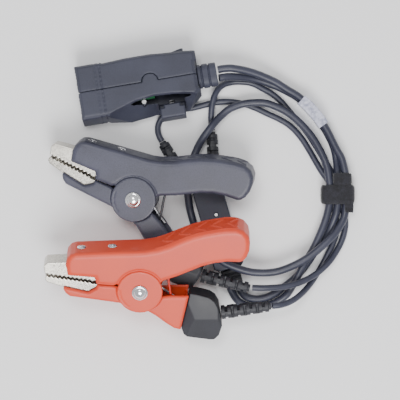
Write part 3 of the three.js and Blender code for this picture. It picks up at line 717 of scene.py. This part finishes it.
def relief_frame(place, x, y, turn):
    """The frame of a relief that leaves a boot at local x and y."""
    lie = Matrix.Rotation(math.radians(turn), 4, "Z") @ Matrix.Rotation(math.pi / 2, 4, "Y")
    return place @ Matrix.Translation(Vector((x, y, 0)) * MM) @ lie


# %% [markdown]
# ## Jumper wires
#
# A thin wire joins the two halves of each clamp, so that both jaws carry current. It is one smooth bead through
# fixed points in the clamp's frame.

# %% Jumper wire between the halves
JUMPER_RADIUS = 0.85 * MM
JUMPER = [(23, 26, 5), (21.5, 18, 5.6), (20.4, 8, 6), (21.4, -2, 6), (22, -9.5, 5.4), (20.6, -15, 4.4)]


def jumper(name, place):
    points = [place @ (Vector(point) * MM) for point in JUMPER]
    wire = tube_through(points, JUMPER_RADIUS, f"{name}_jumper")
    wire.data.materials.append(FINISHES[f"{name}_wire"])
    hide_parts(f"{name}_jumper_wire")
    bpy.ops.object.shade_smooth()
    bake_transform(wire)


# %% [markdown]
# ## Both clamps
#
# Each relief leaves its boot at a local x and y, at a turn in degrees.

# %% Make both clamps
EXITS = {"red": (58.2, -22.4, 8), "black": (63, -40.5, 3.5)}
CLAMP_RELIEF_LENGTH = 36 * MM
CLAMP_RELIEF_ROOT = 5.2 * MM
RELIEF_TIP = 3.9 * MM
CLAMP_RELIEF_BLOCKS = 8
for colour in ("red", "black"):
    here = clamp_frame(colour)
    upper_half(colour, here)
    lower_half(colour)
    toothed_jaw(colour, "upper", f"{colour}_upper")
    toothed_jaw(colour, "lower", "root")
    rivet(colour, here)
    top_screws(colour, here)
    boot(colour, here)
    strain_relief(f"{colour}_ribbed_relief", f"{colour}_strain_relief", relief_frame(here, *EXITS[colour]),
                  CLAMP_RELIEF_LENGTH, CLAMP_RELIEF_ROOT, RELIEF_TIP, CLAMP_RELIEF_BLOCKS)
    jumper(colour, here)

# %% [markdown]
# ## Vehicle plug
#
# The plug's two shells meet at a fine line with a half-round tab. Both are rounded copies
# of the plain shells, and the gap between them stays as the dark parting line.

# %% Plug
# Each part's name, the body it rides on, its voxel in millimetres and its finish.
PLUG = {
    "upper_shell": ("plug_upper_half", "root", 0.5, "housing"),
    "lower_shell": ("plug_lower_half", "root", 0.5, "housing"),
    "lower_lever": ("plug_latch_block", "connector_lower_lever_body", 0.35, "housing"),
    "upper_lever": ("plug_latch_wedge", "connector_upper_lever_body", 0.35, "housing"),
    "pin_insert": ("plug_pin_insert", "root", 0.3, "housing"),
    "strain_relief": ("plug_grommet", "root", 0.35, "housing"),
}
for part, (name, body, voxel, slot) in PLUG.items():
    shell = copy_of(f"connector_{part}", name)
    mould(shell, voxel * MM, passes=4, keep=0.5)
    settle(shell, body, slot, f"connector_{part}")

# %% [markdown]
# ## Inline box
#
# The small box under the handles has a base, a lid with one screw, two ribbed reliefs at
# its upper end and a flat gland at its lower end.

# %% Box
BOX_VOXEL = 0.4 * MM
GLAND_VOXEL = 0.3 * MM
for part, name in {"base": "box_lower_tray", "lid": "box_upper_cover"}.items():
    shell = copy_of(f"box_{part}", name)
    mould(shell, BOX_VOXEL, passes=4, keep=0.5)
    settle(shell, "root", "housing", f"box_{part}")
gland = copy_of("box_gland", "box_flat_gland")
mould(gland, GLAND_VOXEL, passes=3, keep=0.5)
settle(gland, "root", "rubber", "box_gland")

# %% Its two lead reliefs
# Where each starts in the layout, its lean and drop in degrees, its length and its blocks.
BOX_RELIEF_ROOT = 5.1 * MM
BOX_RELIEFS = {
    "red_lead_relief": ((-13.5, 19.1, 5.3), 31, 2, 27, 6),
    "black_lead_relief": ((10.5, 12.8, 5.6), 3, 1.8, 37, 8),
}
for node, (start, lean, drop, length, blocks) in BOX_RELIEFS.items():
    turn = Euler((math.radians(-90 - drop), 0, math.radians(lean)), "XYZ").to_matrix().to_4x4()
    strain_relief(f"{node}_ribbed", node, Matrix.Translation(laid(*start)) @ turn, length * MM,
                  BOX_RELIEF_ROOT, RELIEF_TIP, blocks)

# %% [markdown]
# ## Marker sleeve and strap
#
# The sleeve is a clear film shrunk round the two trunk cables, so it is wavy. The strap is
# hook-and-loop tape: a band with a soft pile, one narrower wrap above it and a loose tail.

# %% Marker sleeve
SLEEVE_VOXEL = 0.25 * MM
CREASE_SIZE = 5 * MM
CREASE_HEIGHT = 0.25 * MM


def wavy(piece, size, height):
    """Pushes a skin in and out by a soft noise."""
    clouds = bpy.data.textures.new(piece.name, "CLOUDS")
    clouds.noise_scale = size
    push = piece.modifiers.new("push", "DISPLACE")
    push.texture = clouds
    push.texture_coords = "LOCAL"
    push.strength = height
    push.mid_level = 0.5
    push.direction = "NORMAL"
    apply_all(piece)


sleeve = copy_of("marker_sleeve", "marker_film_sleeve")
mould(sleeve, SLEEVE_VOXEL, passes=3, keep=1.0)
wavy(sleeve, CREASE_SIZE, CREASE_HEIGHT)
settle(sleeve, "root", "label", "marker_sleeve")

# %% Strap helpers
HOLE_OVERRUN = 5


def rounded_band(name, across, along, up, thick, round_by):
    """A band round the cables: a rounded bar along Y with a hole through it.

    across, along and up are its low and high sides in millimetres of the layout.
    """
    here = Matrix.Translation(laid(0, 0, 0))
    low, high = zip(across, along, up)
    outer = brick(Vector(low) * MM, Vector(high) * MM, here)
    outer.name = name
    edges = outer.modifiers.new("round", "BEVEL")
    edges.width = round_by * MM
    edges.segments = 5
    apply_all(outer)
    margin = Vector((thick, -HOLE_OVERRUN, thick))
    carve(outer, brick((Vector(low) + margin) * MM, (Vector(high) - margin) * MM, here))
    return outer


# %% Strap
STRAP_VOXEL = 0.4 * MM
TUFT_SIZE, TUFT_HEIGHT = 1.1 * MM, 0.5 * MM
HAIR_SIZE, HAIR_HEIGHT = 0.5 * MM, 0.4 * MM
wrap = rounded_band("strap_wrap", across=(87.9, 112.3), along=(-3.4, 11.4), up=(0.15, 14.7),
                    thick=2, round_by=3.2)
neck = rounded_band("strap_neck", across=(96.6, 110.2), along=(10, 20.2), up=(5.2, 14.1),
                    thick=1.2, round_by=2.6)
tail = rounded_band("strap_tail", across=(105.2, 111.4), along=(-9.4, -1), up=(10.6, 13.4),
                    thick=0.9, round_by=1.2)
band = joined(wrap, neck, tail)
band.name = "strap_band"
mould(band, STRAP_VOXEL, passes=3, keep=1.0)
wavy(band, TUFT_SIZE, TUFT_HEIGHT)
wavy(band, HAIR_SIZE, HAIR_HEIGHT)
settle(band, "root", "strap", "strap")

# %% [markdown]

# %% [markdown]
# ## Parts that keep their plain shape
#
# Springs, boards, the fuse and the small screws are inside or tiny, and their plain
# shapes are right, so they only take their finish.

# %% Finishes of the plain parts
SLOT_OF = {row["node"]: row["material_slot"] for row in frame["record"]["subparts"]}
for node, plain in frame["nodes"].items():
    if not plain.hide_render:
        plain.data.materials.clear()
        plain.data.materials.append(FINISHES[SLOT_OF[node]])
        print("kept", node)
